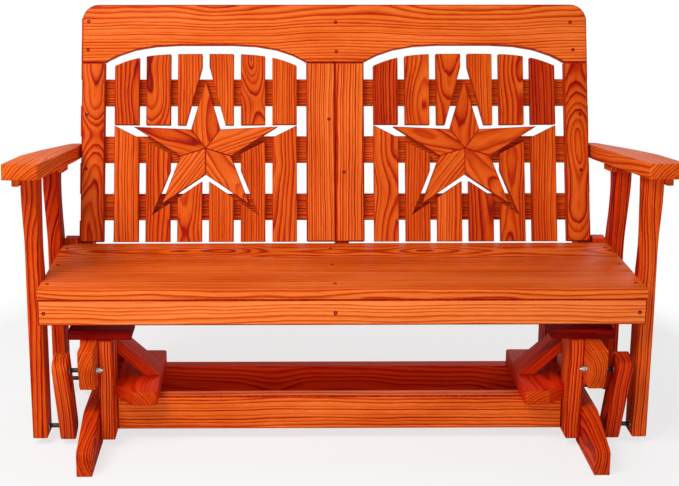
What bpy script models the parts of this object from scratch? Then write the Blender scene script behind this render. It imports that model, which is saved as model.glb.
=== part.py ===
"""Two-seat porch glider: a slatted bench with star-cut back panels, hung from a floor base on four
swinging links. X runs along the seat, Y from front to back and Z up. The pieces are laid out from
the front face of the apron and from the floor, and one root frame centres the whole over its own
footprint.
"""

from math import atan2, cos, pi, radians, sin, tan

import bmesh
import bpy
from mathutils import Matrix, Vector

IN = 0.0254

# Lumber and fits
BOARD = 1.5 * IN            # two-by lumber: posts, links, base frames
DECK = 1.0 * IN             # five-quarter boards: slats, stiles, rails, stars
EASE = 0.09 * IN            # eased edge of every board
GAP = 0.0003                # between faces that touch
SINK = 0.0002               # overlap of shapes that are joined into one piece
FIT = 0.0005                # bolt clearance in a turning hole

# Seat
SEAT_LENGTH = 59.8 * IN
SEAT_TOP = 17.5 * IN
SLAT_WIDTH = 5.45 * IN
REAR_SLAT_WIDTH = 4.7 * IN
SLAT_JOINT = 0.06 * IN
NOSING = 0.08 * IN          # front slat beyond the apron
NOSE_RADIUS = 0.3 * IN
APRON_HEIGHT = 2.67 * IN
HUMP = 1.4 * IN             # rear end of a side rail above the slats' underside
HUMP_LENGTH = 3.3 * IN

# Back, measured up its slope from the foot of the stiles
BACK_LEAN = radians(16.6)
BACK_FOOT_Z = 17.6 * IN
BACK_CLEAR = 0.15 * IN      # rear slat to the back's front face
BACK_WIDTH = 56.3 * IN
STILE_HEIGHT = 19.95 * IN
STILE_WIDTH = 2.6 * IN
CENTRE_STILE_WIDTH = 6.4 * IN
RAIL_WIDTH = 2.95 * IN
RAIL_FOOT = 2.42 * IN
RAIL_STEP = 6.4 * IN
TOP_RAIL_HEIGHT = 6.5 * IN
TOP_RAIL_CORNER = 1.8 * IN
ARCH_RISE = 1.96 * IN
ARCH_POWER = 3.67           # how squarely the arch turns down to its ends
UPRIGHT_DEPTH = 2.5 * IN
UPRIGHT_TAIL = 2.9 * IN     # upright below the foot of the stiles
UPRIGHT_STOP = 1.35 * IN    # upright below the top rail's top edge

# Back slats and stars
BACK_SLATS = 6
BACK_SLAT_WIDTH = 2.72 * IN
BACK_SLAT_PITCH = 3.5 * IN
SLAT_ARCH_DROP = 1.0 * IN   # slat tops below the rail's arch
STAR_HEIGHT = 10.35 * IN    # centre of the star up the slope
# Stars as (degrees from straight up, radius) of one half's tips and inner corners, from the top
STAR_TIPS = ((0, 7.6 * IN), (73.2, 8.4 * IN), (142, 7.9 * IN))
STAR_WAISTS = ((37.5, 2.68 * IN), (107, 2.95 * IN), (180, 2.92 * IN))
CUT_TIPS = ((0, 10.5 * IN), (75.6, 10.64 * IN), (141.3, 9.35 * IN))
CUT_WAISTS = ((40.5, 3.38 * IN), (105.5, 3.35 * IN), (180, 3.4 * IN))
KITE_CHAMFER = 0.03 * IN    # round the face of each point of a star

# Arms
ARM_SLOPE = radians(7.1)
ARM_TOP = 30.25 * IN        # top of the front end
ARM_LEAD = 0.75 * IN        # front end ahead of the apron
ARM_LENGTH = 22.6 * IN
ARM_FRONT_WIDTH = 3.6 * IN
ARM_INSET = 0.8 * IN        # front inner corner inside the posts
ARM_REAR_WIDTH = 1.25 * IN
CLEAT = (0.7 * IN, 3.0 * IN, 0.9 * IN)

# Legs and arm posts
LEG_DEPTH = 2.5 * IN
LEG_EDGE = 0.9 * IN         # lower pivot behind the front leg's front edge
LEG_CLEAR = 0.75 * IN       # end of a leg above the floor
REAR_POST_LEAD = 1.3 * IN   # rear post's top ahead of its leg

# Glide linkage
TOP_PIVOT_Y = 0.6 * IN
TOP_PIVOT_Z = 8.95 * IN
LINK_LENGTH = 7.64 * IN     # pivot to pivot
LINK_LEAN = radians(20.7)   # lower end toward the middle
LINK_WIDTH = 2.5 * IN
LINK_TOP_END = 1.6 * IN
LINK_LOW_END = 1.15 * IN
LINK_CORNER = 0.7 * IN
BOLT = 0.375 * IN
SPACER = 0.55 * IN
HEAD = 0.84 * IN
HEAD_HEIGHT = 0.2 * IN
NUT = 0.66 * IN
NUT_HEIGHT = 0.33 * IN

# Base
BASE_MID = 9.4 * IN         # middle of the base behind the apron
FRAME_INSIDE = 24.4 * IN    # middle of the seat to a base frame's inner face
LINK_INSIDE = 27.1 * IN     # middle of the seat to a link's inner face
FOOT_LENGTH = 27.6 * IN
FOOT_TIP = 2.4 * IN
FOOT_HEIGHT = 4.35 * IN
FOOT_PAD = 7.6 * IN
FOOT_ARCH = 0.9 * IN
HEAD_RAIL_LENGTH = 22.0 * IN
HEAD_RAIL_TOP = 11.7 * IN
HEAD_RAIL_DEPTH = 5.45 * IN
HEAD_RAIL_TIP = 4.3 * IN
POST_WIDTH = 3.5 * IN
POST_FRONT = 1.6 * IN       # front post behind the apron
REAR_POST_FRONT = 12.8 * IN
POST_CLEAR = 0.95 * IN
STRETCHER_HEIGHT = 3.6 * IN
STRETCHER_SETBACK = 1.9 * IN    # front stretcher behind its posts' front edges
STRETCHER_CLEAR = 1.25 * IN
PLATE_WIDTH = 4.35 * IN
PLATE_LEAD = 2.3 * IN       # ahead of the front stretcher
PLATE_LAP = 1.1 * IN        # on the rear stretcher
PLATE_CORNER = 0.35 * IN
PLATE_CUT = 1.9 * IN        # front outer corner cut off
STRUT_WIDTH = 3.5 * IN
STRUT_SLOPE = radians(42.4)
STRUT_FOOT = 18.6 * IN      # toe of a strut from the middle of the seat
CAP_INSIDE = 21.0 * IN
CAP_OUTSIDE = 27.3 * IN
CAP_HEIGHT = 1.05 * IN

# Places that follow from the sizes above
SEAT_END = SEAT_LENGTH / 2
RAIL_INSIDE = SEAT_END - BOARD
POST_INSIDE = SEAT_END + GAP
LEG_OUTSIDE = POST_INSIDE + BOARD
SLAT_UNDER = SEAT_TOP - DECK
APRON_FOOT = SLAT_UNDER - GAP - APRON_HEIGHT
SEAT_REAR = 2 * (SLAT_WIDTH + SLAT_JOINT) + REAR_SLAT_WIDTH - NOSING
BACK_FRONT = SEAT_REAR + BACK_CLEAR
LOW_PIVOT_Y = TOP_PIVOT_Y + LINK_LENGTH * sin(LINK_LEAN)
LOW_PIVOT_Z = TOP_PIVOT_Z - LINK_LENGTH * cos(LINK_LEAN)
LEG_FRONT = LOW_PIVOT_Y - LEG_EDGE
REAR_LEG = 2 * BASE_MID - LOW_PIVOT_Y - LEG_DEPTH / 2
LINK_OUTSIDE = LINK_INSIDE + BOARD
FRAME_OUTSIDE = FRAME_INSIDE + BOARD
UPRIGHT_OUTSIDE = RAIL_INSIDE - GAP
BACK_TOP = STILE_HEIGHT + GAP + TOP_RAIL_HEIGHT
FRONT_REACH = BASE_MID - FOOT_LENGTH / 2
REAR_REACH = (BACK_FRONT + (BACK_TOP - UPRIGHT_STOP) * sin(BACK_LEAN)
              + (DECK + GAP + UPRIGHT_DEPTH) * cos(BACK_LEAN))
CENTRE_Y = (FRONT_REACH + REAR_REACH) / 2

ORANGE = (0.72, 0.16, 0.02)
DEEP = (0.60, 0.10, 0.012)
STEEL = (0.62, 0.60, 0.57)

SIDEWAYS = (pi / 2, 0, pi / 2)   # outline (x, y) -> (front-to-back, up), thickness along X
FACING = (pi / 2, 0, 0)          # outline (x, y) -> (along the seat, up), thickness along Y

for old in list(bpy.data.objects):
    bpy.data.objects.remove(old, do_unlink=True)

glider = bpy.data.collections.new("porch_glider")
cutters = bpy.data.collections.new("cutters")
bpy.context.scene.collection.children.link(glider)
bpy.context.scene.collection.children.link(cutters)


def frame(name, location, rotation=(0, 0, 0), parent=None):
    empty = bpy.data.objects.new(name, None)
    empty.location = location
    empty.rotation_euler = rotation
    empty.parent = parent
    glider.objects.link(empty)
    return empty


def finish(obj, colour, parent, roughness=0.45, metallic=0.0):
    """Puts a piece in the collection with a material of its own."""
    material = bpy.data.materials.new(obj.name)
    material.use_nodes = True
    shader = material.node_tree.nodes["Principled BSDF"]
    shader.inputs["Base Color"].default_value = (*colour, 1)
    shader.inputs["Roughness"].default_value = roughness
    shader.inputs["Metallic"].default_value = metallic
    obj.data.materials.append(material)
    obj.parent = parent
    if obj.name not in glider.objects:
        glider.objects.link(obj)
    return obj


def ease_edges(obj, width, segments=1):
    weld = obj.modifiers.new("weld", "WELD")
    weld.merge_threshold = 0.00001
    bevel = obj.modifiers.new("ease", "BEVEL")
    bevel.width = width
    bevel.segments = segments
    bevel.limit_method = "ANGLE"
    bevel.angle_limit = radians(50)


def outline_curve(name, outlines, thickness):
    """A flat outline, with any holes, given a thickness that is centred on its plane."""
    curve = bpy.data.curves.new(name, "CURVE")
    curve.dimensions = "2D"
    curve.fill_mode = "BOTH"
    curve.extrude = thickness / 2
    for points in outlines:
        spline = curve.splines.new("POLY")
        spline.points.add(len(points) - 1)
        for point, (x, y) in zip(spline.points, points):
            point.co = (x, y, 0, 1)
        spline.use_cyclic_u = True
    return bpy.data.objects.new(name, curve)


def board(name, outline, thickness, parent, location, rotation=(0, 0, 0), holes=(), colour=ORANGE):
    obj = outline_curve(name, [outline, *holes], thickness)
    obj.location = location
    obj.rotation_euler = rotation
    ease_edges(obj, EASE)
    return finish(obj, colour, parent)


def box(name, low, high, parent, colour=ORANGE):
    """A straight board between two corners, with eased edges."""
    mesh = bpy.data.meshes.new(name)
    obj = bpy.data.objects.new(name, mesh)
    solid = bmesh.new()
    size = Vector(high) - Vector(low)
    bmesh.ops.create_cube(solid, size=1, matrix=Matrix.Diagonal((*size, 1)))
    solid.to_mesh(mesh)
    solid.free()
    obj.location = (Vector(low) + Vector(high)) / 2
    ease_edges(obj, EASE)
    return finish(obj, colour, parent)


def rounded(corners, steps=3):
    """A closed outline whose corners (x, y, radius) become arcs."""
    points = []
    for i, (x, y, radius) in enumerate(corners):
        corner = Vector((x, y))
        if radius == 0:
            points.append((x, y))
            continue
        to_last = (Vector(corners[i - 1][:2]) - corner).normalized()
        to_next = (Vector(corners[(i + 1) % len(corners)][:2]) - corner).normalized()
        half = to_last.angle(to_next) / 2
        centre = corner + (to_last + to_next).normalized() * radius / sin(half)
        start = corner + to_last * radius / tan(half) - centre
        end = corner + to_next * radius / tan(half) - centre
        turn = atan2(start.cross(end), start.dot(end))
        for k in range(steps + 1):
            angle = turn * k / steps
            points.append((centre.x + start.x * cos(angle) - start.y * sin(angle),
                           centre.y + start.x * sin(angle) + start.y * cos(angle)))
    return points


def flowing(knots, steps=3):
    """A smooth open line through the knots."""
    knots = [Vector(k) for k in knots]
    ends = [2 * knots[0] - knots[1], *knots, 2 * knots[-1] - knots[-2]]
    points = []
    for a, b, c, d in zip(ends, ends[1:], ends[2:], ends[3:]):
        for k in range(steps):
            t = k / steps
            points.append(0.5 * (2 * b + (c - a) * t + (2 * a - 5 * b + 4 * c - d) * t ** 2
                                 + (3 * b - a - 3 * c + d) * t ** 3))
    points.append(knots[-1])
    return [tuple(p) for p in points]


def circle(x, y, radius, sides=24):
    return [(x + radius * cos(2 * pi * k / sides), y + radius * sin(2 * pi * k / sides))
            for k in range(sides)]


def reflect(points, axis):
    """An outline mirrored about x = axis, kept in the same winding."""
    return [(2 * axis - x, y) for x, y in reversed(points)]


def cutter(obj, parent=None):
    """Puts a helper solid out of sight."""
    for collection in list(obj.users_collection):
        collection.objects.unlink(obj)
    cutters.objects.link(obj)
    obj.parent = parent
    obj.hide_render = True
    obj.display_type = "WIRE"
    return obj


def add_to(obj, other):
    """Joins a helper solid, laid out in the same frame, to a piece."""
    other.location -= obj.location
    cutter(other, obj)
    combine(obj, other, "UNION")


def combine(obj, other, operation):
    change = obj.modifiers.new(operation.lower(), "BOOLEAN")
    change.operation = operation
    change.object = other


def as_mesh(obj):
    """The mesh that a curve piece makes, with its caps joined to its sides."""
    for collection in list(obj.users_collection):
        collection.objects.unlink(obj)
    bpy.context.scene.collection.objects.link(obj)
    graph = bpy.context.evaluated_depsgraph_get()
    mesh = bpy.data.meshes.new_from_object(obj.evaluated_get(graph))
    solid = bmesh.new()
    solid.from_mesh(mesh)
    bmesh.ops.remove_doubles(solid, verts=solid.verts, dist=0.00001)
    solid.to_mesh(mesh)
    solid.free()
    name, matrix = obj.name, obj.matrix_world.copy()
    bpy.data.objects.remove(obj, do_unlink=True)
    made = bpy.data.objects.new(name, mesh)
    made.matrix_world = matrix
    return made


def turned_mesh(name, profile, closed=False, sides=16):
    """The mesh of a profile (radius, height) turned about Z, given from top to bottom."""
    mesh = bpy.data.meshes.new(name)
    edges = [(i, i + 1) for i in range(len(profile) - 1)]
    if closed:
        edges.append((len(profile) - 1, 0))
    mesh.from_pydata([(r, 0, z) for r, z in profile], edges, [])
    obj = bpy.data.objects.new(name, mesh)
    screw = obj.modifiers.new("turn", "SCREW")
    screw.steps = sides
    screw.render_steps = sides
    screw.use_merge_vertices = True
    screw.merge_threshold = 0.00001
    return as_mesh(obj).data


def on_axes(name, mesh, y, z, parent):
    """The four bolts of one height, one node each: a bolt's Z axis points outward along X."""
    for side, s in SIDES:
        for end_name, end in ENDS:
            obj = bpy.data.objects.new(f"{end_name}_{side}_{name}", mesh.copy())
            obj.location = (0, from_front(end, y), z)
            obj.rotation_euler = (0, s * pi / 2, 0)
            finish(obj, STEEL, parent, 0.4, 1.0)


def arm_underside(y):
    """Height of the arms' underside at a distance behind the apron."""
    return ARM_TOP - (y + ARM_LEAD) * tan(ARM_SLOPE) - BOARD / cos(ARM_SLOPE)


def back_line(height, depth):
    """Place (Y, Z) of a point of the back: up its slope, and behind its front face."""
    return (BACK_FRONT + height * sin(BACK_LEAN) + depth * cos(BACK_LEAN),
            BACK_FOOT_Z + height * cos(BACK_LEAN) - depth * sin(BACK_LEAN))


root = frame("root", (0, -CENTRE_Y, 0))
back = frame("back_plane", (0, BACK_FRONT, BACK_FOOT_Z), (pi / 2 - BACK_LEAN, 0, 0), root)
arms = frame("arm_plane", (0, -ARM_LEAD, ARM_TOP), (-ARM_SLOPE, 0, 0), root)
SIDES = (("left", -1), ("right", 1))
ENDS = (("front", 1), ("rear", -1))


def from_front(end, y):
    """Y of a base or link feature whose front place is y: itself, or its mirror at the rear."""
    return y if end > 0 else 2 * BASE_MID - y


def between(a, b):
    return min(a, b), max(a, b)


# ---------------------------------------------------------------- base frames
foot_half = rounded([
    (BASE_MID, FOOT_ARCH, 0),
    (FRONT_REACH + FOOT_PAD + FOOT_ARCH, FOOT_ARCH, 0.7 * FOOT_ARCH),
    (FRONT_REACH + FOOT_PAD, 0, 0),
    (FRONT_REACH, 0, 0),
    (FRONT_REACH, FOOT_TIP, 0.45 * IN),
    (FRONT_REACH + 5.4 * IN, FOOT_HEIGHT, 2.4 * IN),
    (BASE_MID, FOOT_HEIGHT, 0)])
rail_front = BASE_MID - HEAD_RAIL_LENGTH / 2
rail_foot = HEAD_RAIL_TOP - HEAD_RAIL_DEPTH
head_half = rounded([
    (BASE_MID, rail_foot, 0),
    (rail_front + HEAD_RAIL_TIP, rail_foot, 1.0 * IN),
    (rail_front + 2.9 * IN, rail_foot + 1.1 * IN, 0.8 * IN),
    (rail_front + 0.9 * IN, rail_foot + 1.1 * IN, 0.3 * IN),
    (rail_front, HEAD_RAIL_TOP - 1.9 * IN, 0.5 * IN),
    (rail_front, HEAD_RAIL_TOP, 0.15 * IN),
    (BASE_MID, HEAD_RAIL_TOP, 0)])
foot_outline = foot_half[:-1] + reflect(foot_half, BASE_MID)[:-1]
head_outline = head_half[:-1] + reflect(head_half, BASE_MID)[:-1]
bolt_holes = [circle(from_front(end, TOP_PIVOT_Y), TOP_PIVOT_Z, BOLT / 2 + GAP) for _, end in ENDS]
stretcher_front = POST_FRONT + STRETCHER_SETBACK
stretcher_top = STRETCHER_CLEAR + STRETCHER_HEIGHT
plate_top = stretcher_top + GAP + BOARD
plate_front = stretcher_front - PLATE_LEAD
plate_rear = REAR_POST_FRONT - GAP - BOARD + PLATE_LAP
frame_middle = FRAME_INSIDE + BOARD / 2

for side, s in SIDES:
    board(f"{side}_foot", foot_outline, BOARD, root, (s * frame_middle, 0, 0), SIDEWAYS)
    board(f"{side}_head_rail", head_outline, BOARD, root, (s * frame_middle, 0, 0), SIDEWAYS,
          bolt_holes, DEEP)
    for end_name, end in ENDS:
        near = POST_FRONT if end > 0 else REAR_POST_FRONT
        far = near + POST_WIDTH
        across = between(s * (FRAME_INSIDE - GAP - BOARD), s * (FRAME_INSIDE - GAP))
        box(f"{side}_{end_name}_post", (across[0], near, POST_CLEAR),
            (across[1], far, HEAD_RAIL_TOP), root)
        across = between(s * CAP_INSIDE, s * CAP_OUTSIDE)
        box(f"{side}_{end_name}_cap", (across[0], near, HEAD_RAIL_TOP + GAP),
            (across[1], far, HEAD_RAIL_TOP + GAP + CAP_HEIGHT), root, DEEP)
    plate_out = FRAME_INSIDE - 2 * GAP - BOARD
    plate_in = plate_out - PLATE_WIDTH
    board(f"{side}_plate", rounded([
        (s * (plate_out - PLATE_CUT), plate_front, 0),
        (s * plate_out, plate_front + PLATE_CUT, 0),
        (s * plate_out, plate_rear, 0),
        (s * plate_in, plate_rear, PLATE_CORNER),
        (s * plate_in, plate_front, PLATE_CORNER)]),
        BOARD, root, (0, 0, plate_top - BOARD / 2))
    strut_low = plate_top + GAP
    strut_out = FRAME_INSIDE - GAP
    strut_heel = STRUT_FOOT + DECK / sin(STRUT_SLOPE)
    strut_front = POST_FRONT + POST_WIDTH + GAP
    board(f"{side}_strut", [
        (s * STRUT_FOOT, strut_low),
        (s * strut_out, strut_low + (strut_out - STRUT_FOOT) * tan(STRUT_SLOPE)),
        (s * strut_out, strut_low + (strut_out - strut_heel) * tan(STRUT_SLOPE)),
        (s * strut_heel, strut_low)],
        STRUT_WIDTH, root, (0, strut_front + STRUT_WIDTH / 2, 0), FACING)

# The front stretcher stands between its posts; the rear one laps its posts' front faces.
for end_name, near, reach in (("front", stretcher_front, FRAME_INSIDE - 2 * GAP - BOARD),
                              ("rear", REAR_POST_FRONT - GAP - BOARD, FRAME_INSIDE - GAP)):
    box(f"{end_name}_stretcher", (-reach, near, STRETCHER_CLEAR),
        (reach, near + BOARD, stretcher_top), root)


nut_face = FRAME_INSIDE - GAP
head_face = LINK_OUTSIDE + GAP
bolt = turned_mesh("hanger_bolt", [
    (0, head_face + HEAD_HEIGHT),
    (HEAD * 0.34, head_face + HEAD_HEIGHT * 0.9),
    (HEAD / 2, head_face + HEAD_HEIGHT * 0.35),
    (HEAD / 2, head_face),
    (BOLT / 2, head_face),
    (BOLT / 2, LINK_INSIDE - GAP),
    (SPACER / 2, LINK_INSIDE - GAP),
    (SPACER / 2, FRAME_OUTSIDE + GAP),
    (BOLT / 2, FRAME_OUTSIDE + GAP),
    (BOLT / 2, nut_face),
    (HEAD / 2, nut_face),
    (HEAD / 2, nut_face - 0.08 * IN),
    (NUT / 2, nut_face - 0.08 * IN),
    (NUT / 2, nut_face - 0.08 * IN - NUT_HEIGHT),
    (BOLT / 2, nut_face - 0.08 * IN - NUT_HEIGHT),
    (BOLT / 2, nut_face - 0.3 * IN - NUT_HEIGHT),
    (0, nut_face - 0.3 * IN - NUT_HEIGHT)])
on_axes("hanger_bolt", bolt, TOP_PIVOT_Y, TOP_PIVOT_Z, root)

# ---------------------------------------------------------------- links
half_link = LINK_WIDTH / 2
link_outline = rounded([
    (-half_link, -LINK_LENGTH - LINK_LOW_END, LINK_CORNER),
    (half_link, -LINK_LENGTH - LINK_LOW_END, LINK_CORNER),
    (half_link, LINK_TOP_END, LINK_CORNER),
    (-half_link, LINK_TOP_END, LINK_CORNER)])
seat = None
for side, s in SIDES:
    for end_name, end in ENDS:
        pivot = frame(f"{end_name}_{side}_top_pivot",
                      (0, from_front(end, TOP_PIVOT_Y), TOP_PIVOT_Z), (0, 0, 0), root)
        lean = frame(f"{end_name}_{side}_link_line", (s * (LINK_INSIDE + BOARD / 2), 0, 0),
                     (end * LINK_LEAN, 0, 0), pivot)
        board(f"{end_name}_{side}_link", link_outline, BOARD, lean, (0, 0, 0), SIDEWAYS,
              [circle(0, 0, BOLT / 2 + FIT)])
        if side == "left" and end_name == "front":
            seat = frame("seat_pivot", (0, LOW_PIVOT_Y - TOP_PIVOT_Y, LOW_PIVOT_Z - TOP_PIVOT_Z),
                         (0, 0, 0), pivot)

# What glides hangs from the front left lower pivot, and is still laid out from the apron.
bench = frame("bench", (0, -LOW_PIVOT_Y, -LOW_PIVOT_Z), (0, 0, 0), seat)
back.parent = bench
arms.parent = bench

# ---------------------------------------------------------------- seat
slat_front = -NOSING
for i, width in enumerate((SLAT_WIDTH, SLAT_WIDTH, REAR_SLAT_WIDTH)):
    nose = NOSE_RADIUS if i == 0 else EASE
    board(f"seat_slat_{i + 1}", rounded([
        (slat_front, SLAT_UNDER, 0.5 * nose),
        (slat_front + width, SLAT_UNDER, 0),
        (slat_front + width, SEAT_TOP, 0),
        (slat_front, SEAT_TOP, nose)]),
        SEAT_LENGTH, bench, (0, 0, 0), SIDEWAYS)
    slat_front += width + SLAT_JOINT
box("apron", (-SEAT_END, 0, APRON_FOOT), (SEAT_END, DECK, SLAT_UNDER - GAP), bench)

rail_top = SLAT_UNDER - GAP
hump_front = SEAT_REAR + GAP + 0.1 * IN
rail_rear = hump_front + HUMP_LENGTH
side_rail = rounded([
    (DECK + GAP, APRON_FOOT, 0),
    (rail_rear - 0.8 * IN, APRON_FOOT, 1.2 * IN),
    (rail_rear, rail_top, 0.8 * IN),
    (hump_front + 1.9 * IN, rail_top + HUMP, 0.7 * IN),
    (hump_front, rail_top + HUMP, 0.5 * IN),
    (hump_front, rail_top, 0),
    (DECK + GAP, rail_top, 0)])
centre_rail = [
    (DECK + GAP, APRON_FOOT),
    (rail_rear - 0.8 * IN, APRON_FOOT),
    (rail_rear - 0.3 * IN, rail_top),
    (DECK + GAP, rail_top)]
for side, s in SIDES:
    board(f"{side}_side_rail", side_rail, BOARD - GAP, bench,
          (s * (RAIL_INSIDE + BOARD / 2), 0, 0), SIDEWAYS, colour=DEEP)
board("centre_rail", centre_rail, BOARD, bench, (-(BOARD + GAP) / 2, 0, 0), SIDEWAYS, colour=DEEP)


def post_outline(front, rear):
    """A contoured leg and arm post between its front and rear edge lines, cut to the arm."""
    front, rear = flowing(front), flowing(rear)
    top = [(front[-1][0], arm_underside(front[-1][0]) - GAP),
           (rear[-1][0], arm_underside(rear[-1][0]) - GAP)]
    return [*front[:-1], *top, *reversed(rear[:-1])]


leg_rear = LEG_FRONT + LEG_DEPTH
front_post = post_outline(
    [(LEG_FRONT, LEG_CLEAR), (LEG_FRONT, APRON_FOOT), (LEG_FRONT + 0.15 * IN, SEAT_TOP + 1.5 * IN),
     (LEG_FRONT + 0.1 * IN, SEAT_TOP + 4.5 * IN), (LEG_FRONT - 0.45 * IN, SEAT_TOP + 8 * IN),
     (LEG_FRONT - 0.5 * IN, SEAT_TOP + 10.6 * IN)],
    [(leg_rear, LEG_CLEAR), (leg_rear, APRON_FOOT), (leg_rear + 0.1 * IN, SEAT_TOP - 0.3 * IN),
     (leg_rear - 0.35 * IN, SEAT_TOP + 3 * IN), (leg_rear - 0.1 * IN, SEAT_TOP + 7 * IN),
     (leg_rear + 0.35 * IN, SEAT_TOP + 10.4 * IN)])
rear_edge = REAR_LEG + LEG_DEPTH
rear_post = post_outline(
    [(REAR_LEG, LEG_CLEAR), (REAR_LEG, APRON_FOOT), (REAR_LEG, SEAT_TOP + 0.5 * IN),
     (REAR_LEG - 0.45 * REAR_POST_LEAD, SEAT_TOP + 3.5 * IN),
     (REAR_LEG - REAR_POST_LEAD, SEAT_TOP + 7 * IN),
     (REAR_LEG - REAR_POST_LEAD, SEAT_TOP + 9.2 * IN)],
    [(rear_edge, LEG_CLEAR), (rear_edge, APRON_FOOT), (rear_edge - 0.1 * IN, SEAT_TOP + 0.5 * IN),
     (rear_edge - 0.6 * REAR_POST_LEAD, SEAT_TOP + 3.5 * IN),
     (rear_edge - 0.8 * REAR_POST_LEAD, SEAT_TOP + 6.5 * IN),
     (rear_edge - 0.4 * REAR_POST_LEAD, SEAT_TOP + 8.8 * IN)])
for side, s in SIDES:
    for end_name, end, shape in (("front", 1, front_post), ("rear", -1, rear_post)):
        board(f"{side}_{end_name}_leg", shape, BOARD, bench,
              (s * (POST_INSIDE + BOARD / 2), 0, 0), SIDEWAYS,
              [circle(from_front(end, LOW_PIVOT_Y), LOW_PIVOT_Z, BOLT / 2 + GAP)])

low_bolt = turned_mesh("leg_bolt", [
    (0, LEG_OUTSIDE + GAP + HEAD_HEIGHT * 0.5),
    (HEAD * 0.34, LEG_OUTSIDE + GAP + HEAD_HEIGHT * 0.45),
    (HEAD / 2, LEG_OUTSIDE + GAP + HEAD_HEIGHT * 0.2),
    (HEAD / 2, LEG_OUTSIDE + GAP),
    (BOLT / 2, LEG_OUTSIDE + GAP),
    (BOLT / 2, POST_INSIDE - GAP),
    (SPACER / 2, POST_INSIDE - GAP),
    (SPACER / 2, LINK_OUTSIDE + GAP),
    (0, LINK_OUTSIDE + GAP)])
on_axes("leg_bolt", low_bolt, LOW_PIVOT_Y, LOW_PIVOT_Z, bench)

# ---------------------------------------------------------------- arms
arm_inner = POST_INSIDE - ARM_INSET
arm_outer = arm_inner + ARM_FRONT_WIDTH
arm_butt = UPRIGHT_OUTSIDE + GAP
for side, s in SIDES:
    arm = as_mesh(outline_curve(f"{side}_arm", [rounded([
        (s * arm_inner, 0, 0.35 * IN),
        (s * arm_outer, 0, 0.6 * IN),
        (s * (arm_outer - 0.1 * IN), 0.4 * ARM_LENGTH, 5 * IN),
        (s * (arm_outer - 1.0 * IN), 0.64 * ARM_LENGTH, 3 * IN),
        (s * (arm_butt + ARM_REAR_WIDTH), ARM_LENGTH, 0.5 * IN),
        (s * arm_butt, ARM_LENGTH, 0),
        (s * arm_butt, 0.78 * ARM_LENGTH, 0)])], BOARD))
    arm.location = (0, 0, -BOARD / 2)
    ease_edges(arm, EASE, 2)
    # A cleat under the arm stands outside the front post and another inside the rear one.
    wide, long, tall = CLEAT
    for x, y in ((LEG_OUTSIDE + GAP, LEG_FRONT), (POST_INSIDE - GAP - wide, REAR_LEG)):
        ahead = (y + ARM_LEAD) / cos(ARM_SLOPE) - 0.9 * IN
        low, high = between(s * x, s * (x + wide))
        add_to(arm, box(f"{side}_cleat", (low, ahead, -BOARD - tall),
                        (high, ahead + long, -BOARD + SINK), None))
    finish(arm, ORANGE, arms)

# ---------------------------------------------------------------- back
stile_out = BACK_WIDTH / 2
stile_in = stile_out - STILE_WIDTH
centre_out = CENTRE_STILE_WIDTH / 2
panel_middle = (stile_in + centre_out) / 2
arch_half = (stile_in - centre_out) / 2
layer = -DECK / 2                      # middle of the front layer
rail_layer = -DECK - GAP - DECK / 2    # middle of the rails behind it


def arch(x):
    """Height of a panel's flat-topped arch at x from its middle, above its ends."""
    return ARCH_RISE * (1 - abs(x / arch_half) ** ARCH_POWER)


def arch_line(middle, count=12):
    return [(middle - arch_half * cos(pi * k / count),
             STILE_HEIGHT + GAP + arch(arch_half * cos(pi * k / count)))
            for k in range(count + 1)]


top_corners = rounded([
    (stile_out, BACK_TOP, TOP_RAIL_CORNER), (-stile_out, BACK_TOP, TOP_RAIL_CORNER),
    (-stile_out, STILE_HEIGHT + GAP, 0), (stile_out, STILE_HEIGHT + GAP, 0)], steps=6)[:-1]
board("top_rail", [*top_corners, *arch_line(-panel_middle), *arch_line(panel_middle),
                   (stile_out, STILE_HEIGHT + GAP)], DECK, back, (0, 0, layer))
for side, s in SIDES:
    low, high = between(s * stile_in, s * stile_out)
    box(f"{side}_stile", (low, 0, -DECK), (high, STILE_HEIGHT, 0), back)
for side, s in SIDES:
    low, high = between(s * GAP / 2, s * centre_out)
    box(f"{side}_centre_stile", (low, 0, -DECK), (high, STILE_HEIGHT, 0), back)
rails = [RAIL_FOOT + i * RAIL_STEP for i in range(3)]

# Each upright stands behind the stiles, and the rails are let into its front edge.
notched = [(-UPRIGHT_TAIL, -DECK - GAP)]
for foot in rails:
    for up, depth in ((-GAP, 0), (-GAP, DECK + GAP), (RAIL_WIDTH + GAP, DECK + GAP),
                      (RAIL_WIDTH + GAP, 0)):
        notched.append((foot + up, -DECK - GAP - depth))
upright_top = BACK_TOP - UPRIGHT_STOP
notched += [(upright_top, -DECK - GAP), (upright_top, -DECK - GAP - UPRIGHT_DEPTH),
            (-UPRIGHT_TAIL, -DECK - GAP - UPRIGHT_DEPTH)]
for name, middle in (("left", -(UPRIGHT_OUTSIDE - BOARD / 2)), ("centre", (BOARD + GAP) / 2),
                     ("right", UPRIGHT_OUTSIDE - BOARD / 2)):
    obj = outline_curve(f"{name}_upright", [notched], BOARD)
    obj.location = (middle, 0, 0)
    obj.rotation_euler = SIDEWAYS
    finish(obj, DEEP, back)


def star(tips, waists):
    """Tips and inner corners by turns, clockwise from the top, about the star's centre."""
    half = [(radius * sin(radians(angle)), radius * cos(radians(angle)))
            for pair in zip(tips, waists) for angle, radius in pair]
    return half + [(-x, y) for x, y in half[-2:0:-1]]


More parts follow.
